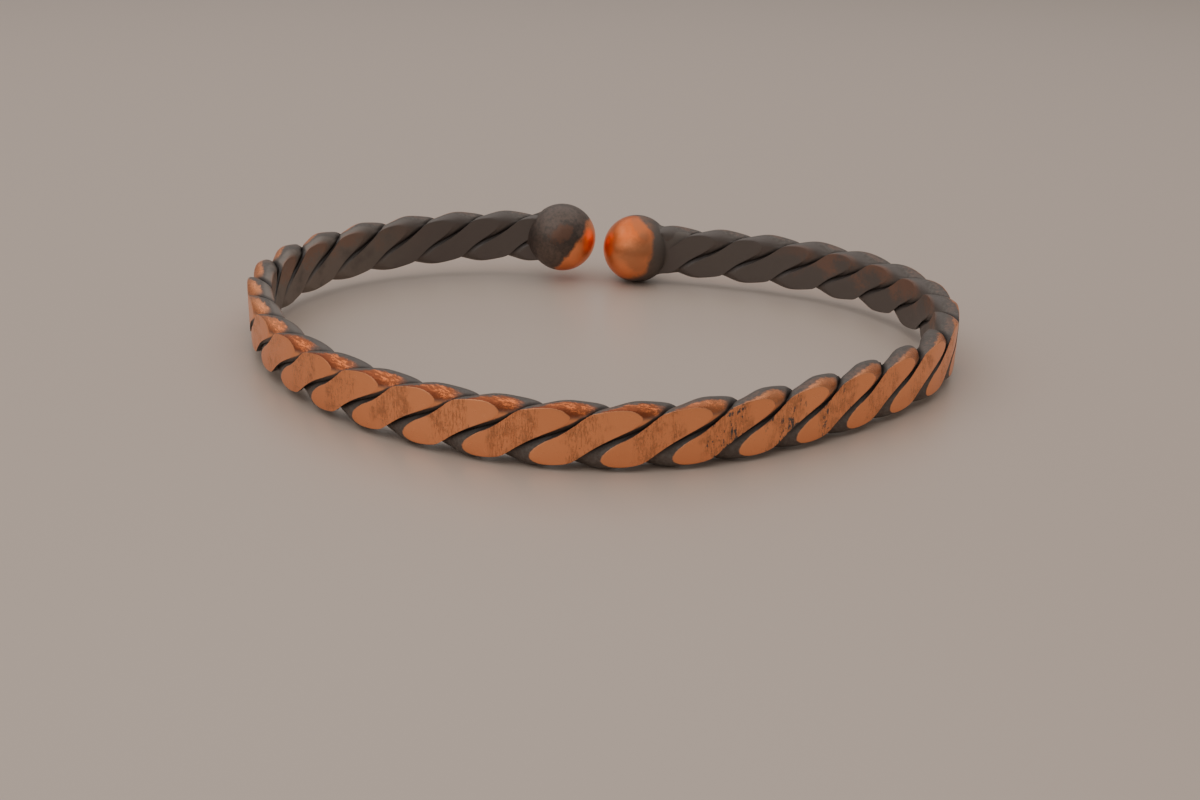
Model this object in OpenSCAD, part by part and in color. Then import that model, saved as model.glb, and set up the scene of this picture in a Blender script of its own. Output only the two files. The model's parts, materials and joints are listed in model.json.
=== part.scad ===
// Open cuff bracelet: three copper wires twisted into a rope, pressed to a strap with flat
// outer and inner faces, bent round the wrist and ended in two solid balls.
// The origin is the middle of the cuff's outline on the surface that it rests on. +Z is up,
// the closed side of the cuff faces -Y and the gap between the balls faces +Y.

/* [Twist] */
// Length of strap in which a wire makes one full turn
lay = 16.2; // [15:0.1:18]
// Number of wires in the rope
wires = 3; // [3]
// Turn of the twist at the strap's left end, in degrees
start_phase = -167; // [-180:1:180]
// Clearance between neighbouring wires
wire_gap = 0.18; // [0.16:0.01:0.26]

/* [Pressed section] */
// Thickness of the strap between its two pressed faces
strap_t = 2.3; // [2.2:0.05:2.6]
// Half thickness of the path that a wire's centre follows round the strap
path_u = 0.9; // [0.87:0.01:1]
// Half height of that path
path_v = 1.7; // [1.5:0.01:1.8]
// Lean of that path, in degrees of twist
path_lean = 10; // [4:1:14]
// Half thickness of a wire as it crosses a pressed face
face_u = 2; // [1.7:0.05:2.3]
// Half height of a wire as it crosses a pressed face
face_v = 1.67; // [1.55:0.01:1.75]
// Half thickness of a wire as it turns over the strap's edge
edge_u = 1.2; // [1.1:0.01:1.4]
// Half height of a wire as it turns over the strap's edge
edge_v = 1.05; // [0.95:0.01:1.15]

/* [Balls] */
// Diameter of each ball
ball_d = 7.4; // [6.8:0.1:7.6]
// Distance from a ball's centre to the ends of the wires in it
wire_end = 1; // [0.8:0.1:1.4]
// Clearance between the strap and the socket that takes it in a ball
socket_gap = 0.1; // [0.08:0.01:0.2]
// Radius of the socket's corners
socket_r = 0.6; // [0.4:0.1:0.7]

/* [Rest] */
// Tilt of the strap, which stands higher at the balls, in degrees
tilt = 1.3; // [0:0.1:2]
// Height of the left ball above the surface that the right ball rests on
left_lift = 0.95; // [0:0.05:1]

/* [Hidden] */

// Colours of the worn copper: the wires are dark in their grooves, the balls are bright
WIRE_COLOR = [0.55, 0.33, 0.21];
BALL_COLOR = [0.72, 0.40, 0.25];

// The centre line of the strap from the left ball to the right one, seen from above, as
// straight runs and arcs to the left that meet without a kink
LENGTH = 0;
SWEEP = 1;
RUNS = [
    // length, sweep in degrees
    [2.5, 0],      // inside the left ball
    [18.9, 45.7],  // back left
    [21.6, 64.6],  // left side
    [37.8, 58.9],  // front left
    [21.6, 47],    // front
    [18.9, 19],    // front right
    [37.8, 108],   // right side and back right
    [14.6, 15.1],  // up to the right ball
    [2.2, 0],      // inside the right ball
];
// Heading of the first run, in degrees from +X
START_HEADING = 174.3;

// Where each run starts: how far along the strap, its heading and its place
AT = 0;
HEADING = 1;
PLACE = 2;

function ahead(h) = [cos(h), sin(h)];
function outward(h) = [sin(h), -cos(h)];

// Step from the start of a run with heading h to the point a distance s into it
function step(run, h, s) =
    run[SWEEP] == 0 ? s * ahead(h)
    : let(radius = run[LENGTH] * 180 / (run[SWEEP] * PI),
          turned = run[SWEEP] * s / run[LENGTH])
      radius * (outward(h + turned) - outward(h));

function starts(i = 0, s = 0, h = START_HEADING, p = [0, 0]) =
    i == len(RUNS) ? [[s, h, p]]
    : let(run = RUNS[i])
      concat([[s, h, p]],
             starts(i + 1, s + run[LENGTH], h + run[SWEEP], p + step(run, h, run[LENGTH])));

STARTS = starts();
STRAP_L = STARTS[len(RUNS)][AT];

function run_at(s, i = 0) =
    i == len(RUNS) - 1 || s < STARTS[i + 1][AT] ? i : run_at(s, i + 1);

function heading_at(s) =
    let(i = run_at(s)) STARTS[i][HEADING] + RUNS[i][SWEEP] * (s - STARTS[i][AT]) / RUNS[i][LENGTH];

function place_at(s) =
    let(i = run_at(s)) STARTS[i][PLACE] + step(RUNS[i], STARTS[i][HEADING], s - STARTS[i][AT]);

// Rings along a wire: this many for each full turn of the twist
RINGS_PER_TURN = 20;
RINGS = ceil(STRAP_L / lay * RINGS_PER_TURN);
SIDES = 10;
RING_AT = [for (i = [0:RINGS]) STRAP_L * i / RINGS];

// The balls' centres lie on the strap's line, past its ends
LEFT_BALL = place_at(0) - wire_end * ahead(heading_at(0));
RIGHT_BALL = place_at(STRAP_L) + wire_end * ahead(heading_at(STRAP_L));

// Middle of the outline: the pressed outer face bounds it left, right and in front, and the
// left ball at the back
LINE = [for (s = RING_AT) place_at(s)];
LEFT = min([for (p = LINE) p.x]) - strap_t / 2;
RIGHT = max([for (p = LINE) p.x]) + strap_t / 2;
FRONT = min([for (p = LINE) p.y]) - strap_t / 2;
BACK = max(LEFT_BALL.y, RIGHT_BALL.y) + ball_d / 2;
MIDDLE = [(LEFT + RIGHT) / 2, (FRONT + BACK) / 2];

// Height of the strap's middle: its front edge rests on the surface, it rises with the tilt
// towards the back, and near each end it bends up or down to the ball's height
STRAP_H = 2 * (path_v + edge_v);
LEVEL_FRONT = 3;
END_BEND = 51;
BALL_Z = ball_d / 2;

function tilted(p) =
    let(y = p.y - FRONT) STRAP_H / 2 + tan(tilt) * y * y / (y + LEVEL_FRONT);

function ease(from_end) = pow(max(0, 1 - from_end / END_BEND), 2);

LEFT_BEND = BALL_Z + left_lift - tilted(place_at(0));
RIGHT_BEND = BALL_Z - tilted(place_at(STRAP_L));

function height_at(s) =
    tilted(place_at(s)) + LEFT_BEND * ease(s) + RIGHT_BEND * ease(STRAP_L - s);

// A point of the strap's section: u out from the wrist and v up from the strap's middle
function strap_point(s, u, v) =
    let(p = place_at(s) - MIDDLE + u * outward(heading_at(s))) [p.x, p.y, height_at(s) + v];

// Centre of a wire in the section, at a phase of the twist: 0 is the outer face, 90 the top
function centre(phase) = [path_u * cos(phase), path_v * sin(phase + path_lean)];

// How sharply a wire's round outline turns into the seams where its neighbours bear on it
SEAM_POWER = 5;
// How soon a wire takes its shape over the edge as it leaves a face
EDGE_POWER = 4;

// Distance from a wire's centre to its own round outline in direction d. The half towards
// the strap's middle keeps the height that the wire has on a face.
function round_reach(phase, d) =
    let(on_face = pow(abs(cos(phase + path_lean)), EDGE_POWER),
        half_u = edge_u + (face_u - edge_u) * on_face,
        outer_v = edge_v + (face_v - edge_v) * on_face,
        half_v = d.y * sin(phase + path_lean) > 0 ? outer_v : face_v)
    1 / norm([d.x / half_u, d.y / half_v]);

// Distance from a wire's centre to its seam with the neighbour at another phase
function seam_reach(phase, other, d) =
    let(away = centre(other) - centre(phase),
        seam = (norm(away) - wire_gap) / 2)
    seam * norm(away) / max(0.001, d * away);

// The section is the smooth minimum of the three reaches, cut off at the pressed faces
function section_point(phase, d) =
    let(reaches = [round_reach(phase, d),
                   seam_reach(phase, phase + 360 / wires, d),
                   seam_reach(phase, phase - 360 / wires, d)],
        total = pow(reaches[0], -SEAM_POWER) + pow(reaches[1], -SEAM_POWER)
            + pow(reaches[2], -SEAM_POWER),
        p = centre(phase) + pow(total, -1 / SEAM_POWER) * d)
    [max(-strap_t / 2, min(strap_t / 2, p.x)), p.y];

function phase_at(s, wire) = start_phase + 360 * (s / lay + wire / wires);

function ring(s, wire) =
    let(phase = phase_at(s, wire))
    [for (j = [0:SIDES - 1])
        let(p = section_point(phase, ahead(360 * (j + 0.5) / SIDES)))
        strap_point(s, p.x, p.y)];

function ring_centre(s, wire) =
    let(p = centre(phase_at(s, wire))) strap_point(s, p.x, p.y);

// A wire is the skin over its rings, closed at each end by a fan round the last ring's centre
module wire(number) {
    last = RINGS * SIDES;
    end_centres = last + SIDES;
    color(WIRE_COLOR)
    polyhedron(
        points = concat(
            [for (s = RING_AT) each ring(s, number)],
            [for (s = [0, STRAP_L]) ring_centre(s, number)]
        ),
        faces = concat(
            [for (j = [0:SIDES - 1]) [end_centres, (j + 1) % SIDES, j]],
            [for (j = [0:SIDES - 1]) [end_centres + 1, last + j, last + (j + 1) % SIDES]],
            [for (i = [0:RINGS - 1], j = [0:SIDES - 1], half = [0, 1])
                let(a = i * SIDES + j,
                    b = i * SIDES + (j + 1) % SIDES)
                half == 0 ? [a, b + SIDES, a + SIDES] : [a, b, b + SIDES]]
        ),
        convexity = 20
    );
}

// Slot with rounded corners that takes the strap's end, along +X from the ends of the wires
module socket() {
    size = [STRAP_H + 2 * socket_gap, strap_t + 2 * socket_gap];
    inner = size - 2 * [socket_r, socket_r];
    translate([wire_end - socket_gap, 0, 0])
    rotate([0, 90, 0])
    linear_extrude(ball_d) {
        square([size.x, inner.y], center = true);
        square([inner.x, size.y], center = true);
        for (i = [-1, 1], j = [-1, 1])
            translate([i * inner.x, j * inner.y] / 2)
            circle(r = socket_r, $fn = 32);
    }
}

// A ball whose socket opens along the heading, with the sphere's own seam on the far side
module ball(place, height, heading) {
    color(BALL_COLOR)
    translate([place.x - MIDDLE.x, place.y - MIDDLE.y, height])
    rotate([0, 0, heading])
    difference() {
        rotate([0, 0, 180])
        sphere(d = ball_d, $fn = 96);
        socket();
    }
}

module wire_1() { wire(0); }
module wire_2() { wire(1); }
module wire_3() { wire(2); }
module ball_left() { ball(LEFT_BALL, BALL_Z + left_lift, heading_at(0)); }
module ball_right() { ball(RIGHT_BALL, BALL_Z, heading_at(STRAP_L) + 180); }

wire_1();
wire_2();
wire_3();
ball_left();
ball_right();
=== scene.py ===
"""Open copper cuff bracelet: three pressed, twisted wires and two balls, with their worn finish
and some painted shade and highlights.

The file is laid out as an add-on: sizes and colours are properties, each group of pieces is an
operator, and the panel lists them. Lengths are millimetres until they go into a mesh.
"""

import json
import math
from typing import NamedTuple

import bpy
import numpy as np
from mathutils import Matrix, Vector

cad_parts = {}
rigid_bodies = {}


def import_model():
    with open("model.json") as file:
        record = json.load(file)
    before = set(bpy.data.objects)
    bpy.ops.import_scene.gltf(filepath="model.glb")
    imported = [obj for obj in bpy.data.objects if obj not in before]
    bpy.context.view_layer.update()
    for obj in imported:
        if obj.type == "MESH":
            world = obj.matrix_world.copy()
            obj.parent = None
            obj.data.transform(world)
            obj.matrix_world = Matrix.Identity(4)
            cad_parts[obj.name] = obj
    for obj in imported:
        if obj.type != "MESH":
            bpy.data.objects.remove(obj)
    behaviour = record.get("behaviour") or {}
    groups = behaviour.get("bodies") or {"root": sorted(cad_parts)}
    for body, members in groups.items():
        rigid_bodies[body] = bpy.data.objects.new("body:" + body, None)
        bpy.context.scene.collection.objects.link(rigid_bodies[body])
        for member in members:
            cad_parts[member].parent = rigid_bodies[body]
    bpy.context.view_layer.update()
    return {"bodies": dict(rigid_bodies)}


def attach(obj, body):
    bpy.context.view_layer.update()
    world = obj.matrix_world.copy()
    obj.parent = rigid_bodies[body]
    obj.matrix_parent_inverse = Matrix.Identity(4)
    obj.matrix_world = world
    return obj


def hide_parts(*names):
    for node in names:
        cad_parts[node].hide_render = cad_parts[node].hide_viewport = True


bl_info = {
    "name": "Twisted Copper Cuff",
    "version": (1, 0, 0),
    "blender": (4, 5, 0),
    "location": "View3D > Sidebar > Cuff",
    "description": "Builds an open cuff of pressed, twisted copper wires with two balls",
    "category": "Add Mesh",
}

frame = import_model()
BODY = next(iter(frame["bodies"]))
MM = 0.001
FULL_TURN = 2 * math.pi
UPWARD = np.array([0.0, 0.0, 1.0])
WIRES = 3

# Runs of the strap's centre line from the left ball to the right one, seen from above. They
# are those of the solids: straight runs and arcs that meet without a kink.
RUN_LENGTH = np.array([2.5, 18.9, 21.6, 37.8, 21.6, 18.9, 37.8, 14.6, 2.2])
RUN_SWEEP = np.radians([0.0, 45.7, 64.6, 58.9, 47.0, 19.0, 108.0, 15.1, 0.0])
START_HEADING = math.radians(174.3)
RUN_AT = np.concatenate([[0.0], np.cumsum(RUN_LENGTH)])
RUN_HEADING = START_HEADING + np.concatenate([[0.0], np.cumsum(RUN_SWEEP)])
STRAP_LENGTH = RUN_AT[-1]
# Points of the line among which the cuff's outermost places are looked for
LINE_POINTS = 4001
# How far from the front the strap's tilt sets in
LEVEL_FRONT = 3.0
# Length of the bend from the tilted strap to each ball
END_BEND = 51.0

# How soon a wire takes its shape over the strap's edge as it leaves a face
EDGE_POWER = 4
# How far from the strap's edge the seams stay open
EDGE_ZONE = 0.75
# Depths below the surface between which a seam closes
GROOVE_DEPTH = (0.20, 0.50)
# Least part of the way to a neighbour that lies along a direction, so that no reach is endless
LEAST_FACING = 0.001
# Least length that is divided by
NEVER_ZERO = 1e-9
# Farthest distance to a seam that the finish is told of
SEAM_LIMIT = 2
# Mean depth of the unevenness of a pressed flat, and its waves
FLAT_DEPTH = 0.008
FLAT_WAVES = {"seed": 5, "count": 9, "longest": 4.0, "shortest": 1.2}
# How far the waves are moved from one wire to the next
WAVES_SHIFT = 40
# How near to the pressed face the edge of a flat is rounded
ROUNDED_BAND = 0.3
# Seed and number of the random tints that a wire's flats take in turn
TINT_SEED = 31
TINTS = 64

# How far a ball's surface lies inside its solid's
BALL_MARGIN = 0.008
# Rings of a ball and of its collar of solder, and points round each ring
BALL_RINGS = 84
COLLAR_RINGS = 24
BALL_SIDES = 160
# How much less than the strap a collar's outline reaches, before its fillet
COLLAR_DEPTH = 0.05
# How square that outline is, where 2 is an ellipse
COLLAR_POWER = 3.2
# Share of its reach that it has lost at the collar's end, where it lies in the strap
COLLAR_SINK = 0.22
# How much the collar's rings crowd towards the ball, where 1 is not at all
COLLAR_CROWDING = 1.5
# Height and waves of the solder's lumps, and the mm that a radian round the strap counts for
LUMP_HEIGHT = 0.02
LUMP_SEED = 3
LUMP_WAVES = {"count": 8, "longest": 2.4, "shortest": 0.9}
LUMP_RADIUS = 2.0

# Stretches of the strap that are worn in their own way: how far along it each sets in, is
# full, starts to fade and has gone
SCARRED = (96.0, 99.0, 109.0, 114.0)
BACK_LEFT = (12.0, 30.0, 44.0, 66.0)
BACK_RIGHT = (122.0, 132.0, 152.0, 164.0)
# The same for stretches that run on to an end of the strap: where each sets in and is full
LEFT_SIDE = (62.0, 48.0)
RIGHT_SIDE = (92.0, 104.0)
RUBBED_STRETCH = (150.0, 138.0)
# Depth of the fine relief in the finish
WIRE_RELIEF = 0.03
BALL_RELIEF = 0.015

# Sockets of the Mix node that serve colours
MIX_FACTOR, MIX_FIRST, MIX_SECOND, MIX_RESULT = 0, 6, 7, 2

# The stage, in metres: half the floor's width, each light's place and size, and the distance
# from which on the camera sees
FLOOR_REACH = 0.9
OVERHEAD_LIGHT = {"place": (-0.03, 0.05, 0.31), "size": (0.72, 0.72)}
FRONT_LIGHT = {"place": (-0.51, -0.43, 0.46), "size": (1.00, 0.80)}
NEAREST_SEEN = 0.01
# Roughness of the floor, which shows soft reflections
FLOOR_ROUGHNESS = 0.33
# Width of the picture's frame and of the camera's sensor
FRAME_WIDTH_PX = 1200
SENSOR_WIDTH_MM = 36.0


# Path of the strap


def ahead(heading):
    """Unit vectors along the headings: cosine and sine."""
    return np.stack([np.cos(heading), np.sin(heading)], -1)


def outward(heading):
    """Unit vectors to the right of the headings, which is out of the cuff: sine and minus
    cosine."""
    return np.stack([np.sin(heading), -np.cos(heading)], -1)


def run_step(run, along):
    """Step from the start of each run to the point that lies along it: the length itself on a
    straight run, and radius times the turn of the outward vector on an arc."""
    heading, sweep, length = RUN_HEADING[run], RUN_SWEEP[run], RUN_LENGTH[run]
    straight = sweep == 0
    radius = np.where(straight, 0.0, length / np.where(straight, 1.0, sweep))
    turned = sweep * along / length
    arc = radius[..., None] * (outward(heading + turned) - outward(heading))
    return np.where(straight[..., None], along[..., None] * ahead(heading), arc)


RUN_STEP = run_step(np.arange(len(RUN_LENGTH)), RUN_LENGTH)
RUN_PLACE = np.concatenate([np.zeros((1, 2)), np.cumsum(RUN_STEP, 0)])


def centre_line(s):
    """Place and heading of the strap's centre line at distances s from its left end: those at
    the start of the run that holds s, plus the step into the run and its share of the sweep."""
    s = np.atleast_1d(np.asarray(s, float))
    run = np.clip(np.searchsorted(RUN_AT, s, side="right") - 1, 0, len(RUN_LENGTH) - 1)
    along = s - RUN_AT[run]
    heading = RUN_HEADING[run] + RUN_SWEEP[run] * along / RUN_LENGTH[run]
    return RUN_PLACE[run] + run_step(run, along), heading


class Strap:
    """The strap's path in space and the balls' centres, from the user's sizes."""

    def __init__(self, sizes):
        self.thickness = sizes.thickness
        self.half_height = sizes.path_v + sizes.edge_v
        self.tilt = math.tan(sizes.tilt)
        self.ball_r = sizes.ball_d / 2
        ends, self.headings = centre_line([0.0, STRAP_LENGTH])
        left = ends[0] - sizes.wire_end * ahead(self.headings[0])
        right = ends[1] + sizes.wire_end * ahead(self.headings[1])
        line, _ = centre_line(np.linspace(0, STRAP_LENGTH, LINE_POINTS))
        self.front = line[:, 1].min() - self.thickness / 2
        back = max(left[1], right[1]) + self.ball_r
        across = (line[:, 0].min() + line[:, 0].max()) / 2
        self.middle = np.array([across, (self.front + back) / 2])
        self.balls = [
            np.append(left - self.middle, self.ball_r + sizes.left_lift),
            np.append(right - self.middle, self.ball_r),
        ]
        self.bends = [ball[2] - self.tilted(end) for ball, end in zip(self.balls, ends)]

    def tilted(self, place):
        """Height of the tilted strap: level in front, then rising in proportion to the
        distance y from the front, as y^2 / (y + LEVEL_FRONT)."""
        y = place[..., 1] - self.front
        return self.half_height + self.tilt * y * y / (y + LEVEL_FRONT)

    def height(self, s):
        """Height of the strap's middle: the tilt plus a bend towards each ball that fades
        with the square of the distance from the end."""
        place, _ = centre_line(s)
        from_left = np.maximum(0.0, 1 - s / END_BEND) ** 2
        from_right = np.maximum(0.0, 1 - (STRAP_LENGTH - s) / END_BEND) ** 2
        return self.tilted(place) + self.bends[0] * from_left + self.bends[1] * from_right

    def points(self, s, u, v):
        """Points of the sections at s: u out from the wrist and v up from the middle."""
        place, heading = centre_line(s)
        flat = (place - self.middle)[:, None, :] + u[..., None] * outward(heading)[:, None, :]
        return np.concatenate([flat, (self.height(s)[:, None] + v)[..., None]], -1)


# Sections of a wire


def wire_phase(s, wire, sizes):
    """Phase of a wire round the strap: the start, plus a turn for each lay and a third of a
    turn for each wire. 0 is the outer face and a quarter turn is the top."""
    return sizes.start_phase + FULL_TURN * (s / sizes.lay + wire / WIRES)


def wire_centre(phase, sizes):
    """Centre of a wire in the section: cosine of the phase times the path's depth, and sine of
    the leaning phase times its height."""
    return sizes.path_u * np.cos(phase), sizes.path_v * np.sin(phase + sizes.path_lean)


def round_reach(phase, du, dv, sizes):
    """Reach of a wire's own round outline from its centre: an ellipse whose halves go from
    those over the edge to those on a face with a power of the phase's cosine. The half towards
    the strap's middle keeps the height that it has on a face."""
    leaning = phase + sizes.path_lean
    on_face = np.abs(np.cos(leaning)) ** EDGE_POWER
    half_u = sizes.edge_u + (sizes.face_u - sizes.edge_u) * on_face
    outer_v = sizes.edge_v + (sizes.face_v - sizes.edge_v) * on_face
    half_v = np.where(dv * np.sin(leaning) > 0, outer_v, sizes.face_v)
    return 1 / np.hypot(du / half_u, dv / half_v)


def seam_reach(phase, neighbour, du, dv, sizes):
    """Reach from a wire's centre to its seam with a neighbour, which lies halfway between the
    two centres less half the gap, and the cosine of the direction's angle to the neighbour."""
    cu, cv = wire_centre(phase, sizes)
    nu, nv = wire_centre(phase + neighbour * FULL_TURN / WIRES, sizes)
    au, av = nu - cu, nv - cv
    away = np.hypot(au, av)
    facing = np.maximum(LEAST_FACING, du * au + dv * av) / away
    return (away - sizes.seam_gap) / 2 / facing, facing


def smooth_minimum(reaches, power):
    """Smooth minimum of the reaches r: (sum of r^-power)^(-1 / power)."""
    return (reaches**-power).sum(0) ** (-1 / power)


def smooth_step(x, low, high):
    """0 below low, 1 above high, and 3t^2 - 2t^3 between, where t is the share of the way."""
    t = np.clip((x - low) / (high - low), 0.0, 1.0)
    return t * t * (3 - 2 * t)


def soft_cap(x, limit, softness):
    """The smooth minimum of x and limit, whose rounding is about as wide as softness:
    limit - softness * log(1 + e^((limit - x) / softness))."""
    return limit - softness * np.logaddexp(0.0, (limit - x) / softness)


def waves(a, b, seed, count, longest, shortest):
    """A smooth random relief of about -1 to 1: a sum of sines of a and b whose directions,
    lengths and phases come from the seed."""
    draw = np.random.default_rng(seed)
    total = np.zeros(np.broadcast(a, b).shape)
    for _ in range(count):
        turn, length, shift = draw.uniform([0, shortest, 0], [math.pi, longest, FULL_TURN])
        along = np.cos(turn) * a + np.sin(turn) * b
        total += np.sin(FULL_TURN / length * along + shift)
    return total / math.sqrt(count)


def wire_sections(phase, directions, sizes):
    """Sections of a wire at the phases: along each direction from the wire's centre, the
    smooth minimum of its round outline and its seams with the two neighbours. The minimum
    gets sharper with the depth below the surface, so that a groove is wide on top and closed
    underneath. Returns u, v and the distance from there to the nearer seam."""
    phase = phase[:, None]
    cu, cv = wire_centre(phase, sizes)
    du, dv = np.cos(directions)[None], np.sin(directions)[None]
    first, first_facing = seam_reach(phase, 1, du, dv, sizes)
    second, second_facing = seam_reach(phase, -1, du, dv, sizes)
    reaches = np.stack([round_reach(phase, du, dv, sizes), first, second])

    reach = smooth_minimum(reaches, sizes.seam_power)
    inside_u = sizes.thickness / 2 - np.abs(cu + reach * du)
    inside_v = sizes.path_v + sizes.edge_v - EDGE_ZONE - np.abs(cv + reach * dv)
    deep = smooth_step(np.minimum(inside_u, inside_v), *GROOVE_DEPTH)
    power = sizes.seam_power + (sizes.core_power - sizes.seam_power) * deep
    reach = smooth_minimum(reaches, power)
    seam = np.minimum((first - reach) * first_facing, (second - reach) * second_facing)
    return cu + reach * du, cv + reach * dv, seam


def press_faces(s, u, v, number, sizes):
    """The sections' u cut off at the pressed faces: a soft cap on its size, at a limit that
    waves over the flat. Also returns how far the uncut outline stands past the face."""
    half = sizes.thickness / 2 - sizes.press_margin
    size = np.abs(u)
    relief = waves(s[:, None], v + WAVES_SHIFT * number, **FLAT_WAVES)
    limit = half - FLAT_DEPTH * (1 + np.clip(relief, -1, 1))
    capped = soft_cap(size, limit, sizes.edge_soft)
    return np.sign(u) * np.where(size > half - ROUNDED_BAND, capped, size), size - half


# Meshes


def grid_faces(rings, sides):
    """Quads of a tube of rings, and a fan at each end round the two points after the grid."""
    i, j = np.meshgrid(np.arange(rings - 1), np.arange(sides), indexing="ij")
    a, b = i * sides + j, i * sides + (j + 1) % sides
    quads = np.stack([a, b, b + sides, a + sides], -1).reshape(-1, 4)
    j = np.arange(sides)
    start, last = rings * sides, (rings - 1) * sides
    first_fan = np.stack([np.full(sides, start), (j + 1) % sides, j], -1)
    last_fan = np.stack([np.full(sides, start + 1), last + j, last + (j + 1) % sides], -1)
    return quads, np.concatenate([first_fan, last_fan])


def mesh_object(name, points, quads, triangles, attributes):
    """A smooth object of points in mm, quads and triangles, with its point attributes."""
    mesh = bpy.data.meshes.new(name)
    corners = np.concatenate([quads.ravel(), triangles.ravel()])
    totals = np.concatenate([np.full(len(quads), 4), np.full(len(triangles), 3)])
    starts = np.concatenate([[0], np.cumsum(totals)[:-1]])
    mesh.vertices.add(len(points))
    mesh.vertices.foreach_set("co", (points * MM).ravel())
    mesh.loops.add(len(corners))
    mesh.loops.foreach_set("vertex_index", corners)
    mesh.polygons.add(len(totals))
    mesh.polygons.foreach_set("loop_start", starts)
    for key, values in attributes.items():
        layer = mesh.attributes.new(key, "FLOAT_VECTOR", "POINT")
        layer.data.foreach_set("vector", values.astype(np.float32).ravel())
    mesh.update(calc_edges=True)
    mesh.validate()
    mesh.shade_smooth()
    obj = bpy.data.objects.new(name, mesh)
    bpy.context.scene.collection.objects.link(obj)
    return obj


def add_piece(obj, material, slot, *nodes):
    """The piece rides on the cuff, takes the material and stands for the CAD nodes. The slot is
    not used.
    """
    obj.data.materials.append(material)
    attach(obj, BODY)
    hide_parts(*nodes)


def with_ends(*fields):
    """The fields of a grid as one row for each point, and then the mean of the first ring and
    that of the last one, for the fans' middles."""
    grid = np.stack(fields, -1)
    rows = grid.reshape(-1, len(fields))
    return np.concatenate([rows, grid[0].mean(0)[None], grid[-1].mean(0)[None]])


def wire_object(name, number, strap, sizes):
    """One wire: the skin over its pressed sections at equal steps along the strap.

    Its attributes, in mm: strap is (along, up, out); section is (how far the uncut outline
    stands past the face, distance to the nearer seam, outward slope); turn is
    (cosine and sine of the phase, a random tint of the flat). The outward slope is the
    normal's share along u, from the outline's tangent."""
    s = np.linspace(0, STRAP_LENGTH, sizes.rings)
    directions = (np.arange(sizes.sides) + 0.5) / sizes.sides * FULL_TURN
    phase = wire_phase(s, number, sizes)
    u, v, seam = wire_sections(phase, directions, sizes)
    u, press = press_faces(s, u, v, number, sizes)
    tu, tv = np.roll(u, -1, 1) - np.roll(u, 1, 1), np.roll(v, -1, 1) - np.roll(v, 1, 1)
    slope = tv / np.maximum(NEVER_ZERO, np.hypot(tu, tv))
    tints = np.random.default_rng(TINT_SEED + number).uniform(0, 1, TINTS)
    tint = tints[np.floor(phase / FULL_TURN + 0.5).astype(int) % TINTS]

    def round_ring(values):
        """One value for each ring, the same all round it."""
        return np.broadcast_to(values[:, None], u.shape)

    attributes = {
        "strap": with_ends(round_ring(s), v, u),
        "section": with_ends(press, np.clip(seam, -SEAM_LIMIT, SEAM_LIMIT), slope),
        "turn": with_ends(*map(round_ring, (np.cos(phase), np.sin(phase), tint))),
    }
    points = with_ends(*np.moveaxis(strap.points(s, u, v), -1, 0))
    return mesh_object(name, points, *grid_faces(len(s), sizes.sides), attributes)


def strap_outline(turn, strap):
    """Reach of the strap's rounded outline at a turn round its middle, from
    |u/half_u|^p + |v/half_v|^p = 1."""
    half_u, half_v = strap.thickness / 2 - COLLAR_DEPTH, strap.half_height - COLLAR_DEPTH
    u_share, v_share = np.abs(np.cos(turn)) / half_u, np.abs(np.sin(turn)) / half_v
    return (u_share**COLLAR_POWER + v_share**COLLAR_POWER) ** (-1 / COLLAR_POWER)


def ball_directions(turn, rim_angle, axis, across):
    """Directions from a ball's centre to its grid. The polar angle goes in equal steps from
    the far pole, a half turn from the axis, to the rim."""
    row = (np.arange(BALL_RINGS) + 1)[:, None] / BALL_RINGS
    polar = math.pi + (rim_angle - math.pi) * row
    ring = np.cos(turn)[:, None] * across + np.sin(turn)[:, None] * UPWARD
    return np.cos(polar)[..., None] * axis + np.sin(polar)[..., None] * ring


def collar_grid(turn, outline, start, collar, end, sizes):
    """How far a collar's grid lies from the strap's end, and its reach there. The reach goes
    from the rim to the outline as exp(-distance / fillet), and the outline sinks into the
    strap with the square of the way to the collar's end. Small waves make the lumps."""
    share = (np.arange(COLLAR_RINGS) + 1)[:, None] / COLLAR_RINGS
    beyond = share**COLLAR_CROWDING * (start.max() + collar - start)
    from_end = start + beyond
    reach = outline * (1 - COLLAR_SINK * share**2)
    reach = reach + sizes.collar_fillet * np.exp(-beyond / sizes.collar_fillet)
    lumps = waves(from_end, turn * LUMP_RADIUS, LUMP_SEED + end, **LUMP_WAVES)
    return from_end, reach + LUMP_HEIGHT * lumps * np.minimum(1.0, beyond)


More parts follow.
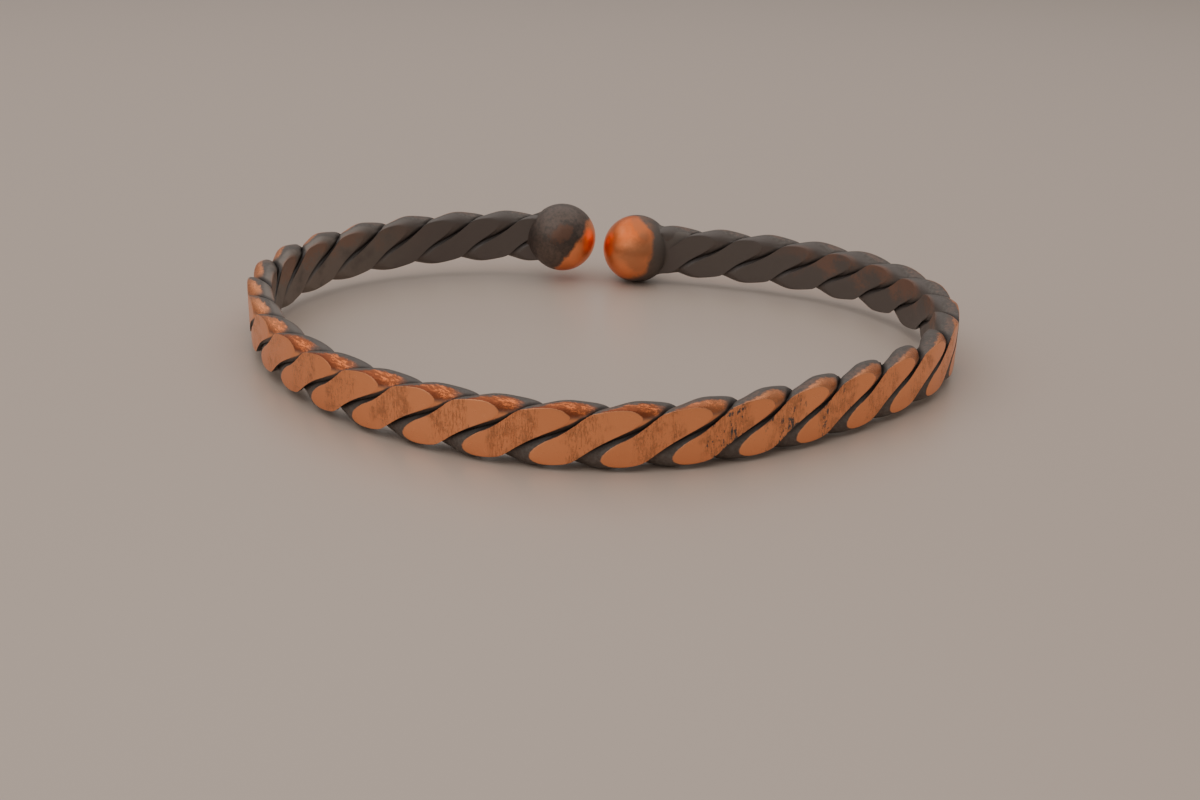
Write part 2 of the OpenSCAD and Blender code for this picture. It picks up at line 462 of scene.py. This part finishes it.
def ball_object(name, end, collar, strap, sizes):
    """A ball and the collar of solder that runs from it along the strap.

    The ball is a grid of polar angle and turn, down to the rim, which is the strap's rounded
    outline and the fillet's width round it. The collar's rings lie along the strap. The
    attribute facing is the unit vector from the ball's centre."""
    radius = strap.ball_r - BALL_MARGIN
    centre = strap.balls[end]
    side = -1 if end else 1
    heading = strap.headings[end] + (math.pi if end else 0.0)
    axis = np.append(ahead(heading), 0.0)
    across = np.append(outward(heading), 0.0) * side
    turn = np.arange(BALL_SIDES) / BALL_SIDES * FULL_TURN * side
    outline = strap_outline(turn, strap)
    rim_angle = np.arcsin((outline + sizes.collar_fillet) / radius)
    facing = ball_directions(turn, rim_angle, axis, across).reshape(-1, 3)

    start = radius * np.cos(rim_angle) - sizes.wire_end
    from_end, reach = collar_grid(turn, outline, start, collar, end, sizes)
    s = STRAP_LENGTH - from_end if end else from_end
    u, v = reach * np.cos(turn), reach * np.sin(turn)
    skirt = strap.points(s.ravel(), u.reshape(-1, 1), v.reshape(-1, 1)).reshape(-1, 3)
    away = skirt - centre
    away = away / np.linalg.norm(away, axis=-1, keepdims=True)

    middle = np.zeros((1, 1))
    near = strap.points(s[-1, :1], middle, middle)[0]
    far = centre - radius * axis
    points = np.concatenate([centre + radius * facing, skirt, [far], near])
    facing = np.concatenate([facing, away, [-axis], [axis]])
    quads, fans = grid_faces(BALL_RINGS + COLLAR_RINGS, BALL_SIDES)
    return mesh_object(name, points, quads, fans, {"facing": facing})


# Shader maths


class Value:
    """A socket that takes part in Python expressions. Each operator adds a Math node."""

    def __init__(self, nodes, socket):
        self.nodes = nodes
        self.socket = socket

    def math(self, operation, first, second):
        """The operation's result, from a Math node."""
        return self.nodes.add("ShaderNodeMath", {"operation": operation}, [first, second])

    def __add__(self, other):
        return self.math("ADD", self, other)

    def __sub__(self, other):
        return self.math("SUBTRACT", self, other)

    def __rsub__(self, other):
        return self.math("SUBTRACT", other, self)

    def __mul__(self, other):
        return self.math("MULTIPLY", self, other)

    __radd__ = __add__
    __rmul__ = __mul__

    def maximum(self, other):
        """The greater of the two."""
        return self.math("MAXIMUM", self, other)

    def rise(self, low, high):
        """0 below low, 1 above high and smooth between. With low above high it falls."""
        ends = [low, high, 0.0, 1.0] if low <= high else [high, low, 1.0, 0.0]
        settings = {"interpolation_type": "SMOOTHSTEP"}
        return self.nodes.add("ShaderNodeMapRange", settings, [self, *ends])

    def between(self, start, full, fading, end):
        """1 from full to fading, 0 outside start and end, and smooth between."""
        return self.rise(start, full) * self.rise(end, fading)

    def sway(self, width):
        """A noise of 0 to 1 made to swing round 0 over the width."""
        return (self - 0.5) * width


class Nodes:
    """The node tree of one material."""

    def __init__(self, name):
        self.material = bpy.data.materials.new(name)
        self.material.use_nodes = True
        self.tree = self.material.node_tree
        self.tree.nodes.clear()

    def add(self, kind, settings=None, inputs=(), output=0):
        """Adds a node, sets its settings and then its sockets, and returns one of its outputs,
        if it has any. Inputs are a list in the sockets' order or a dict by socket. A Value is
        linked, and anything else is set as it is."""
        node = self.tree.nodes.new(kind)
        for key, value in (settings or {}).items():
            setattr(node, key, value)
        pairs = inputs.items() if isinstance(inputs, dict) else enumerate(inputs)
        for key, value in pairs:
            if isinstance(value, Value):
                self.tree.links.new(value.socket, node.inputs[key])
            else:
                node.inputs[key].default_value = value
        return Value(self, node.outputs[output]) if node.outputs else None

    def attribute(self, name):
        """A point attribute, as a vector."""
        return self.add("ShaderNodeAttribute", {"attribute_name": name}, output="Vector")

    def split(self, vector):
        """The three numbers of a vector."""
        return [self.add("ShaderNodeSeparateXYZ", None, [vector], axis) for axis in range(3)]

    def vector(self, x, y, z):
        """The vector of three numbers."""
        return self.add("ShaderNodeCombineXYZ", None, [x, y, z])

    def place(self):
        """Object coordinates, in mm."""
        place = self.add("ShaderNodeTexCoord", output="Object")
        return self.add(
            "ShaderNodeVectorMath", {"operation": "SCALE"}, {0: place, "Scale": 1 / MM}
        )

    def noise(self, vector, scale, detail, rough, warp=0.0):
        """Noise of about 0 to 1, in patches of one unit divided by the scale."""
        inputs = {
            "Vector": vector,
            "Scale": scale,
            "Detail": detail,
            "Roughness": rough,
            "Distortion": warp,
        }
        return self.add("ShaderNodeTexNoise", {"noise_dimensions": "3D"}, inputs)

    def drawn_noise(self, numbers, scales, detail, rough, warp=0.0):
        """Noise that is drawn out, because each of the three numbers has its own scale."""
        scaled = [number * scale for number, scale in zip(numbers, scales)]
        return self.noise(self.vector(*scaled), 1.0, detail, rough, warp)

    def dots(self, vector, scale):
        """Distance to the nearest of scattered points, in units divided by the scale."""
        inputs = {"Vector": vector, "Scale": scale}
        return self.add("ShaderNodeTexVoronoi", {"feature": "F1"}, inputs, "Distance")

    def mix(self, factor, first, second):
        """Colour that goes from the first to the second as the factor goes from 0 to 1."""
        inputs = {MIX_FACTOR: factor, MIX_FIRST: opaque(first), MIX_SECOND: opaque(second)}
        return self.add("ShaderNodeMix", {"data_type": "RGBA"}, inputs, MIX_RESULT)

    def layers(self, base, *layers):
        """The base colour under its layers, each of them a mask and a colour."""
        colour = base
        for mask, tone in layers:
            colour = self.mix(mask, colour, tone)
        return colour

    def bump(self, height, depth):
        """Normal of a relief whose height goes from 0 to 1 over a depth in mm."""
        inputs = {"Strength": 1.0, "Distance": depth * MM, "Height": height}
        return self.add("ShaderNodeBump", None, inputs)

    def surface(self, inputs):
        """Ends the material in a Principled surface with the inputs."""
        shader = self.add("ShaderNodeBsdfPrincipled", None, inputs)
        self.add("ShaderNodeOutputMaterial", None, {"Surface": shader})
        return self.material


def opaque(colour):
    """The colour with full alpha. A Value is a finished colour already."""
    return colour if isinstance(colour, Value) else (*colour, 1.0)


# Finish, with painted shade and highlights


class WireWearAndPaintedLight:
    """Where each kind of wear, painted shade and painted highlight lies on a wire, as masks of 0
    to 1. They follow the attributes that wire_object gives it, and noises let their edges wander.
    outer and inner are the two sides of the strap, and groove is what lies near a seam: dark
    patina that is partly painted shade."""

    def __init__(self, nodes):
        self.along, self.up, self.out = nodes.split(nodes.attribute("strap"))
        self.press, self.seam, self.slope = nodes.split(nodes.attribute("section"))
        self.turn_cos, self.turn_sin, self.tint = nodes.split(nodes.attribute("turn"))
        self.outer = self.out.rise(-0.10, 0.25)
        self.inner = self.out.rise(-0.2, -0.6)
        # groove marks the dark patina by the seams, which is partly painted shade in the hollows
        # between the wires.
        self.groove = self.seam.rise(0.50, 0.10)
        self.add_noises(nodes)
        self.mark_flats()
        self.mark_stains()
        self.mark_shoulders()
        self.mark_inside()

    def add_noises(self, nodes):
        """Noises: broad, fine, grain and specks in space, blotch and pits on the strap's
        faces, ragged and streaks drawn out along the strap, and hatch and stroke drawn out up
        it."""
        place = nodes.place()
        strap = (self.along, self.up, self.out)
        sheet = nodes.vector(self.along, self.up, self.out * 0.5)
        self.broad = nodes.noise(place, 0.35, detail=3.0, rough=0.55)
        self.fine = nodes.noise(place, 3.2, detail=4.0, rough=0.65)
        self.grain = nodes.noise(place, 9.0, detail=3.0, rough=0.6)
        self.specks = nodes.noise(place, 5.0, detail=3.0, rough=0.7)
        self.blotch = nodes.noise(sheet, 0.75, detail=3.0, rough=0.6)
        self.pits = nodes.dots(sheet, 2.3)
        self.ragged = nodes.drawn_noise(strap, (1.6, 3.4, 3.4), detail=4.0, rough=0.7)
        self.hatch = nodes.drawn_noise(strap, (9.0, 1.4, 0.5), detail=3.0, rough=0.7, warp=0.5)
        self.stroke = nodes.drawn_noise(strap, (3.2, 0.7, 0.5), detail=3.0, rough=0.65, warp=0.3)
        self.streaks = nodes.drawn_noise(strap, (0.9, 5.5, 5.5), detail=3.0, rough=0.65)

    def mark_flats(self):
        """flat is where the outline was pressed, and middle the middle of each flat, which
        scratches and pits keep to. worn is bare copper: the outer flats and the tongue beyond the
        upper end of each, clear of the seams, without the nicks and most of the pits. By the
        seams the flats' rounded edges keep the dark groove colour, which there is partly patina
        and partly painted shade."""
        press, seam, turn_sin = self.press, self.seam, self.turn_sin
        scarred = self.along.between(*SCARRED)
        self.flat = (press + self.fine.sway(0.07)).rise(-0.025, 0.025)
        middle = self.turn_cos + self.blotch.sway(0.5) + self.tint * 0.1
        self.middle = middle.rise(0.72, 0.97)
        scratches = self.hatch + self.blotch.sway(0.35) + scarred * 0.05
        self.scratches = scratches.rise(0.50, 0.64) * self.middle
        self.pit_spots = self.pits.rise(0.10, 0.04) * self.fine.rise(0.42, 0.56) * self.middle

        nicks = (self.stroke - 0.5) + self.ragged.sway(0.4) + scarred * 0.215 - seam * 0.32
        nicks = nicks.rise(0.03, 0.08) * turn_sin.between(-0.80, -0.50, 0.50, 0.80)
        tongue = press.rise(-0.45, -0.12) * turn_sin.rise(0.30, 0.55) * self.up.rise(1.9, 1.45)
        tongue = tongue * seam.rise(0.24, 0.42)
        # Copper stops short of the seams, so the dark groove colour reaches onto the flats'
        # rounded edges, partly as painted shade.
        clear = (seam + self.fine.sway(0.10)).rise(0.25, 0.38)
        bare = self.flat.maximum(tongue) * self.outer * clear
        self.worn = bare * (1 - nicks.maximum(self.pit_spots * 0.8))

    def mark_stains(self):
        """stain is broad and speckle small, both in the flats' middle, and ruddy is a brown
        tinge of the patina on the outer side of the humps."""
        self.stain = (self.blotch * 0.7 + self.fine * 0.3).rise(0.50, 0.66) * self.middle
        patches = (self.blotch + self.tint * 0.1).rise(0.38, 0.60)
        self.speckle = self.specks.rise(0.56, 0.66) * self.middle * patches
        tinge = (self.fine * 0.6 + self.broad * 0.4).rise(0.42, 0.58)
        self.ruddy = self.outer * self.turn_sin.rise(0.2, 0.7) * tinge

    def mark_shoulders(self):
        """rubbed is the shoulder between a flat's upper edge and the wire's crest: outward
        sloping, where the wire climbs over the strap's upper edge, clear of the seams. Its
        brighter lines are painted highlights, which are also less rough. rim is a painted dark
        line beside the flat, standing for the shade of the hollow there, and sides are the cuff's
        two sides, where the shoulder looks like the flat."""
        right_side = self.along.rise(*RIGHT_SIDE)
        self.sides = right_side.maximum(self.along.rise(*LEFT_SIDE))
        crest = self.slope - right_side * 0.10 + self.ragged.sway(0.7) + self.broad.sway(0.4)
        crest = crest.rise(0.06, 0.30) * self.along.rise(*RUBBED_STRETCH)
        climb = (self.turn_sin + self.fine.sway(0.3)).rise(0.22, 0.52)
        climb = climb * (self.turn_cos + self.broad.sway(0.5)).rise(-0.80, -0.42)
        clear = self.out.rise(-0.45, 0.05) * self.seam.rise(0.12, 0.42)
        above = (self.up + self.fine.sway(0.4)).rise(1.50, 2.05)
        self.rubbed = crest * climb * clear * above * (1 - self.flat)
        # The dark line beside each flat is painted shade of the hollow there.
        self.rim = (self.press + self.fine.sway(0.2)).rise(-0.52, -0.10) * (1 - self.flat)
        # The brighter lines on the shoulder are painted highlights, and they are less rough too.
        self.highlight_streak = (self.streaks + self.grain.sway(0.3)).rise(0.48, 0.60)

    def mark_inside(self):
        """bloom is a pale film inside at the back left, and inner_worn the brown patches on
        the inner flats at the back, more of them towards the upper edge."""
        back_left = self.along.between(*BACK_LEFT)
        handled = back_left.maximum(self.along.between(*BACK_RIGHT))
        patches = (self.broad * 0.6 + self.fine * 0.3 + self.up * 0.07).rise(0.44, 0.60)
        self.bloom = self.inner * back_left * self.broad.rise(0.22, 0.50)
        self.inner_worn = patches * self.inner * handled * self.press.rise(-0.35, 0.05)

    def relief(self):
        """Height of the fine relief: brushed and pitted on the flats, and rough elsewhere,
        most of all on the rubbed shoulders."""
        brushed = self.scratches * -0.8 + self.grain * 0.3
        rubbed = (self.ragged * 0.8 + self.grain * 0.7) * self.rubbed * (1 - self.sides * 0.5)
        rough = self.fine * 0.8 + self.grain * 0.5 + rubbed
        return brushed * self.flat + rough * (1 - self.flat) - self.pit_spots * 2.0

    def roughness(self):
        """Roughness: uneven, less where copper is bare or rubbed bright, and more in its
        scratches and stains."""
        dulled = (self.scratches * 0.5 + self.stain * 0.5) * self.worn
        value = 0.44 + self.fine.sway(0.3) - self.worn * 0.12 - self.inner_worn * 0.04
        return value - self.rubbed * (0.04 + self.highlight_streak * 0.14) + dulled * 0.14

    def metallic(self):
        """Share of metal: low in the patina, lowest in the grooves, and full on bare copper."""
        return (0.3 + self.worn.maximum(self.rubbed) * 0.7) * (1 - self.groove * 0.8)


def wire_material(finish):
    """Pressed copper wire: satin copper on the outer flats; dark patina in the grooves, partly
    painted shade there, on the humps and inside; and rubbed copper on the shoulders above the
    outer flats, painted darker as shade, with lines of painted highlight and a dark line of
    painted shade beside each flat."""
    nodes = Nodes("worn_copper_wire")
    wear = WireWearAndPaintedLight(nodes)
    copper = nodes.layers(
        finish.copper,
        (wear.tint * 0.3, finish.copper_deep),
        (wear.scratches * 0.4, finish.stain),
        (wear.stain * 0.35, finish.stain),
        (wear.speckle * 0.55, finish.stain),
    )
    patina = nodes.layers(
        finish.patina,
        (wear.fine.rise(0.35, 0.7), finish.patina_grey),
        (wear.inner, finish.patina_inner),
        (wear.bloom * 0.8, finish.inner_bloom),
        (wear.inner_worn * 0.45, finish.inner_brown),
        (wear.ruddy * 0.28, finish.inner_brown),
        (wear.groove, finish.groove),
    )
    # The shoulder's colours are painted light: darker copper as painted shade, bright lines as
    # painted highlights, and a dark line of painted shade beside each flat.
    shoulder = nodes.layers(
        finish.rubbed_shade,
        (wear.highlight_streak, finish.rubbed),
        (wear.rim * 0.9, finish.rim),
        (wear.sides * 0.6, finish.copper),
    )
    inputs = {
        "Base Color": nodes.layers(patina, (wear.rubbed, shoulder), (wear.worn, copper)),
        "Roughness": wear.roughness(),
        "Metallic": wear.metallic(),
        "Normal": nodes.bump(wear.relief(), WIRE_RELIEF),
    }
    return nodes.surface(inputs)


class Zone(NamedTuple):
    """A round zone of a ball: its direction from the centre, and the cosines of the angle to
    it at which the zone starts and is full. tone is its colour in CuffFinish, laid over the
    copper and the patina by the two strengths, and roughen is added to the roughness."""

    direction: tuple
    start: float
    full: float
    tone: str = ""
    on_copper: float = 0.0
    on_patina: float = 0.0
    roughen: float = 0.0


# Left ball: copper towards the gap and below. The patina is painted darker in front, as painted
# shade for the dark that the ball reflects there, with a painted brown reflection in the middle,
# where the ball faces the camera. It is darker and duller on the strap's side.
LEFT_COPPER = Zone((0.80, 0.10, -0.60), 0.20, 0.36)
LEFT_ZONES = (
    # Painted shade in front, for the dark that the ball reflects there.
    Zone((0.25, -0.93, 0.15), 0.78, 0.97, "groove", on_patina=0.55),
    # Painted reflection where the ball faces the camera.
    Zone((0.02, -0.96, 0.30), 0.93, 1.0, "inner_brown", on_patina=0.35),
    Zone((-0.99, 0.1, 0.0), 0.55, 0.85, "groove", on_patina=0.4, roughen=0.12),
)
# Right ball: copper towards the gap and in front, painted redder on top where the overhead
# light's highlight falls, which tints that highlight. Two painted brown patches in front dull the
# reflections there as painted shade, and there is grey patina below and on the strap's side.
RIGHT_COPPER = Zone((-0.70, -0.69, 0.20), 0.20, 0.38)
RIGHT_ZONES = (
    # Painted highlight colour where the overhead light's highlight falls.
    Zone((-0.17, -0.55, 0.82), 0.66, 0.95, "highlight_tint", on_copper=0.85, roughen=0.04),
    # Painted shade: two brown patches that dull the reflections of the lights in front.
    Zone((0.26, -0.96, 0.06), 0.70, 1.0, "stain", 0.55, 0.2, 0.06),
    Zone((0.13, -0.47, 0.87), 0.88, 1.0, "stain", 0.4, 0.5, 0.05),
    Zone((0.05, -0.3, -0.95), 0.78, 0.97, "patina_grey", 0.75, 0.5, 0.1),
    Zone((0.99, -0.13, 0.0), 0.35, 0.75, "patina_grey", on_patina=0.9, roughen=0.15),
)


def ball_material(name, finish, copper_zone, zones):
    """Polished copper ball, bright in its copper zone and covered by dark patina elsewhere, with
    more zones laid over both, some of them painted shade, a painted reflection and a painted
    highlight colour. A zone's mask rises with the dot product of the facing and the zone's
    direction, and noises let its edge wander."""
    nodes = Nodes(name)
    facing = nodes.attribute("facing")
    place = nodes.place()
    broad = nodes.noise(place, 0.42, detail=3.0, rough=0.55)
    fine = nodes.noise(place, 2.6, detail=4.0, rough=0.6)
    grain = nodes.noise(place, 8.0, detail=3.0, rough=0.6)
    wander = broad.sway(0.55) + fine.sway(0.14)

    def mask(zone):
        """Where the zone lies, from 0 to 1."""
        unit = Vector(zone.direction).normalized()
        dot = {"operation": "DOT_PRODUCT"}
        toward = nodes.add("ShaderNodeVectorMath", dot, [facing, unit], "Value")
        return (toward + wander).rise(zone.start, zone.full)

    bright = mask(copper_zone)
    copper = nodes.mix(broad.rise(0.45, 0.7) * 0.4, finish.ball_copper, finish.copper_deep)
    patina = nodes.mix(fine.rise(0.35, 0.7), finish.ball_patina, finish.patina)
    roughness = 0.42 - bright * 0.10 + fine.sway(0.10)
    for zone in zones:
        inside, tone = mask(zone), getattr(finish, zone.tone)
        copper = nodes.mix(inside * zone.on_copper, copper, tone)
        patina = nodes.mix(inside * zone.on_patina, patina, tone)
        roughness = roughness + inside * zone.roughen
    inputs = {
        "Base Color": nodes.mix(bright, patina, copper),
        "Roughness": roughness,
        "Metallic": 0.45 + bright * 0.55,
        "Normal": nodes.bump(fine * 0.6 + grain * 0.3, BALL_RELIEF),
    }
    return nodes.surface(inputs)


def floor_material(tone):
    """Plain satin surface, up to 1 % darker in patches of about 170 mm."""
    nodes = Nodes("pale_floor")
    patches = nodes.noise(nodes.place(), 0.006, detail=2.0, rough=0.5)
    shade = nodes.mix(patches * 0.25, tone, [part * 0.96 for part in tone])
    return nodes.surface({"Base Color": shade, "Roughness": FLOOR_ROUGHNESS})


# Properties


def length_property(name, default, description):
    """A length in mm."""
    return bpy.props.FloatProperty(
        name=name, default=default, min=0.0, description=f"{description}, in mm"
    )


def angle_property(name, degrees, description):
    """An angle whose default is given in degrees. It is kept and read in radians."""
    return bpy.props.FloatProperty(
        name=name,
        default=math.radians(degrees),
        description=description,
        subtype="ANGLE",
        unit="ROTATION",
    )


def number_property(name, default, description, **more):
    """A plain number, or one with a unit."""
    return bpy.props.FloatProperty(
        name=name, default=default, description=description, **more
    )


def count_property(name, default, description, least):
    """A whole number from the least one on."""
    return bpy.props.IntProperty(
        name=name, default=default, min=least, description=description
    )


def colour_property(name, default, description):
    """A colour without alpha."""
    return bpy.props.FloatVectorProperty(
        name=name,
        default=default,
        description=description,
        subtype="COLOR",
        size=3,
        min=0.0,
        max=1.0,
    )


class CuffSizes(bpy.types.PropertyGroup):
    """Sizes of the strap and balls."""

    lay: length_property("Lay", 16.2, "Length of strap in which a wire makes one full turn")
    start_phase: angle_property("Start", -167, "Turn of the twist at the strap's left end")
    thickness: length_property("Thickness", 2.3, "Distance between the strap's pressed faces")
    path_u: length_property("Path depth", 0.9, "Half thickness of the path of a wire's centre")
    path_v: length_property("Path height", 1.7, "Half height of the path of a wire's centre")
    path_lean: angle_property("Path lean", 10, "Lean of that path")
    face_u: length_property("Face depth", 2.0, "Half thickness of a wire on a face")
    face_v: length_property("Face height", 1.67, "Half height of a wire on a face")
    edge_u: length_property("Edge depth", 1.2, "Half thickness of a wire over the edge")
    edge_v: length_property("Edge height", 1.05, "Half height of a wire over the edge")
    seam_gap: length_property("Seam gap", 0.004, "Clearance between neighbouring wires")
    seam_power: number_property("Seam sharpness", 4.2, "How sharply a wire turns into its seams")
    core_power: number_property("Core sharpness", 48.0, "The same, below the surface")
    press_margin: length_property("Press margin", 0.012, "How far the faces are set back")
    edge_soft: length_property("Edge softness", 0.04, "Rounding of the flats' edges")
    ball_d: length_property("Ball", 7.4, "Diameter of each ball")
    left_collar: length_property("Left collar", 0.6, "Length of the solder by the left ball")
    right_collar: length_property("Right collar", 2.6, "Length of the solder by the right ball")
    collar_fillet: length_property("Collar fillet", 0.22, "Rounding from a ball to its collar")
    wire_end: length_property("Wire end", 1.0, "Distance from a ball's centre to the wires' ends")
    tilt: angle_property("Tilt", 1.3, "Tilt of the strap, which stands higher at the balls")
    left_lift: length_property("Left ball lift", 0.95, "Height of the left ball above the floor")
    rings: count_property("Rings", 880, "Rings along each wire", 100)
    sides: count_property("Sides", 96, "Points round each wire", 16)


class CuffFinish(bpy.types.PropertyGroup):
    """Colours of the worn copper, and of the painted shade and highlights."""

    copper: colour_property("Copper", (1.0, 0.41, 0.19), "Bright satin copper of the flats")
    copper_deep: colour_property("Deep copper", (0.84, 0.31, 0.14), "Copper of the deeper flats")
    ball_copper: colour_property("Ball copper", (1.0, 0.34, 0.14), "Polished copper of the balls")
    # Also the colour of the painted shade on the front of the right ball.
    stain: colour_property("Stain", (0.42, 0.20, 0.11), "Brown stains and scratches on copper")
    # Colour of the lines of painted highlight on the shoulders.
    rubbed: colour_property("Rubbed copper", (0.97, 0.26, 0.085), "Bright streaks on shoulders")
    # Painted shade: darker copper on the shoulders between the lines of painted highlight.
    rubbed_shade: colour_property(
        "Deep rubbed copper", (0.40, 0.12, 0.05), "Shoulders between the streaks"
    )
    # Painted shade: the dark line beside each flat.
    rim: colour_property("Rim", (0.30, 0.085, 0.04), "Line between a flat and its shoulder")
    patina: colour_property("Patina", (0.10, 0.08, 0.068), "Brown patina of the humps")
    patina_grey: colour_property("Grey patina", (0.155, 0.132, 0.116), "Grey film on the patina")
    patina_inner: colour_property("Inner patina", (0.135, 0.112, 0.10), "Patina of the inside")
    inner_bloom: colour_property("Inner bloom", (0.25, 0.205, 0.172), "Pale film on the inside")
    # Also the colour of the painted reflection in the middle of the left ball.
    inner_brown: colour_property("Inner brown", (0.34, 0.145, 0.08), "Worn patches on patina")
    ball_patina: colour_property("Ball patina", (0.155, 0.11, 0.09), "Dark patina of the balls")
    # Painted highlight colour: redder copper where the overhead light's highlight falls on the
    # right ball.
    highlight_tint: colour_property("Ball glow", (0.82, 0.16, 0.03), "Redder top of the right ball")
    # Dark patina of the grooves, partly painted shade. The left ball's painted shade uses it too.
    groove: colour_property("Groove", (0.045, 0.035, 0.031), "Blackened grooves")


class CuffStage(bpy.types.PropertyGroup):
    """Floor, light and camera."""

    floor: colour_property("Floor", (0.63, 0.51, 0.43), "Colour of the surface")
    key_power: number_property("Overhead light", 0.80, "Power of the light above", unit="POWER")
    front_power: number_property("Front light", 0.98, "Power of the light in front", unit="POWER")
    sky: number_property("Surround", 0.36, "Brightness of the surround")
    sky_tint: colour_property("Surround tint", (1.0, 0.93, 0.87), "Colour of the surround")
    focal_px: number_property("Focal length", 1417.6, "In pixels of a frame 1200 pixels wide")
    camera_place: bpy.props.FloatVectorProperty(
        name="Camera", default=(5.07, -128.49, 45.55), size=3, description="Place, in mm"
    )
    camera_yaw: angle_property("Yaw", -2.034, "Turn of the view to the right")
    camera_pitch: angle_property("Pitch", 21.457, "How far the camera looks down")
    camera_roll: angle_property("Roll", 1.404, "Roll of the camera")


# Stage


def add_light(context, name, power, place, size):
    """An oval soft light that faces the cuff from its place."""
    light = bpy.data.lights.new(name, "AREA")
    light.shape = "ELLIPSE"
    light.size, light.size_y = size
    light.energy = power
    obj = bpy.data.objects.new(name, light)
    obj.location = place
    obj.rotation_euler = (-Vector(place)).to_track_quat("-Z", "Y").to_euler()
    context.scene.collection.objects.link(obj)


def add_surround(context, tint, brightness):
    """An even glow from all sides."""
    world = bpy.data.worlds.new("surround")
    world.use_nodes = True
    background = world.node_tree.nodes["Background"]
    background.inputs["Color"].default_value = opaque(tint)
    background.inputs["Strength"].default_value = brightness
    context.scene.world = world


def add_camera(context, stage):
    """The camera at its place. Its view is turned by yaw and pitch, and its right and up
    directions are then turned about the view by the roll."""
    camera = bpy.data.cameras.new("camera")
    camera.sensor_width = SENSOR_WIDTH_MM
    camera.lens = stage.focal_px / FRAME_WIDTH_PX * SENSOR_WIDTH_MM
    camera.clip_start = NEAREST_SEEN
    yaw, pitch, roll = stage.camera_yaw, stage.camera_pitch, stage.camera_roll
    level = Vector((math.sin(yaw), math.cos(yaw), 0.0))
    view = level * math.cos(pitch) - Vector(UPWARD) * math.sin(pitch)
    right = Vector((math.cos(yaw), -math.sin(yaw), 0.0))
    up = right.cross(view)
    rolled_right = math.cos(roll) * right + math.sin(roll) * up
    rolled_up = math.cos(roll) * up - math.sin(roll) * right
    turned = Matrix((rolled_right, rolled_up, -view)).transposed().to_4x4()
    obj = bpy.data.objects.new("camera", camera)
    obj.matrix_world = Matrix.Translation(Vector(stage.camera_place) * MM) @ turned
    context.scene.collection.objects.link(obj)
    context.scene.camera = obj


# Operators


class CUFF_OT_wires(bpy.types.Operator):
    """Build the three pressed, twisted wires"""

    bl_idname = "cuff.wires"
    bl_label = "Wires"
    bl_options = {"REGISTER", "UNDO"}

    def execute(self, context):
        sizes = context.scene.cuff_sizes
        strap = Strap(sizes)
        material = wire_material(context.scene.cuff_finish)
        for number in range(WIRES):
            node = f"wire_{number + 1}"
            wire = wire_object(f"{node}_worn", number, strap, sizes)
            add_piece(wire, material, "wire", node)
        return {"FINISHED"}


class CUFF_OT_balls(bpy.types.Operator):
    """Build the two balls on the ends of the cuff"""

    bl_idname = "cuff.balls"
    bl_label = "Balls"
    bl_options = {"REGISTER", "UNDO"}

    def execute(self, context):
        sizes, finish = context.scene.cuff_sizes, context.scene.cuff_finish
        strap = Strap(sizes)
        ends = (
            ("left", sizes.left_collar, LEFT_COPPER, LEFT_ZONES),
            ("right", sizes.right_collar, RIGHT_COPPER, RIGHT_ZONES),
        )
        for end, (side, collar, copper, zones) in enumerate(ends):
            material = ball_material(f"{side}_ball_copper", finish, copper, zones)
            ball = ball_object(f"ball_{side}_worn", end, collar, strap, sizes)
            add_piece(ball, material, "ball", f"ball_{side}")
        return {"FINISHED"}


class CUFF_OT_stage(bpy.types.Operator):
    """Set up the floor, the soft light and the camera"""

    bl_idname = "cuff.stage"
    bl_label = "Stage"
    bl_options = {"REGISTER", "UNDO"}

    def execute(self, context):
        stage = context.scene.cuff_stage
        signs = np.array([[-1, -1, 0], [1, -1, 0], [1, 1, 0], [-1, 1, 0]])
        quad, no_triangles = np.array([[0, 1, 2, 3]]), np.zeros((0, 3), int)
        floor = mesh_object("floor", signs * FLOOR_REACH / MM, quad, no_triangles, {})
        floor.data.materials.append(floor_material(stage.floor))
        add_light(context, "overhead", stage.key_power, **OVERHEAD_LIGHT)
        add_light(context, "front", stage.front_power, **FRONT_LIGHT)
        add_surround(context, stage.sky_tint, stage.sky)
        add_camera(context, stage)
        return {"FINISHED"}


class CUFF_PT_panel(bpy.types.Panel):
    """Lists the cuff's steps and its sizes"""

    bl_idname = "CUFF_PT_panel"
    bl_label = "Twisted Copper Cuff"
    bl_space_type = "VIEW_3D"
    bl_region_type = "UI"
    bl_category = "Cuff"

    def draw(self, context):
        layout = self.layout
        for operator in OPERATORS:
            layout.operator(operator.bl_idname)
        for key, group in GROUPS.items():
            box = layout.box()
            for name in group.__annotations__:
                box.prop(getattr(context.scene, key), name)


GROUPS = {"cuff_sizes": CuffSizes, "cuff_finish": CuffFinish, "cuff_stage": CuffStage}
OPERATORS = (CUFF_OT_wires, CUFF_OT_balls, CUFF_OT_stage)
CLASSES = (*GROUPS.values(), *OPERATORS, CUFF_PT_panel)


def register():
    """Registers the classes, and puts the groups of properties on the scene."""
    for cls in CLASSES:
        bpy.utils.register_class(cls)
    for key, group in GROUPS.items():
        setattr(bpy.types.Scene, key, bpy.props.PointerProperty(type=group))


def unregister():
    """Takes all of that back."""
    for key in GROUPS:
        delattr(bpy.types.Scene, key)
    for cls in reversed(CLASSES):
        bpy.utils.unregister_class(cls)


def main():
    """Builds the cuff and its stage."""
    register()
    bpy.ops.cuff.wires()
    bpy.ops.cuff.balls()
    bpy.ops.cuff.stage()


if __name__ == "__main__":
    main()
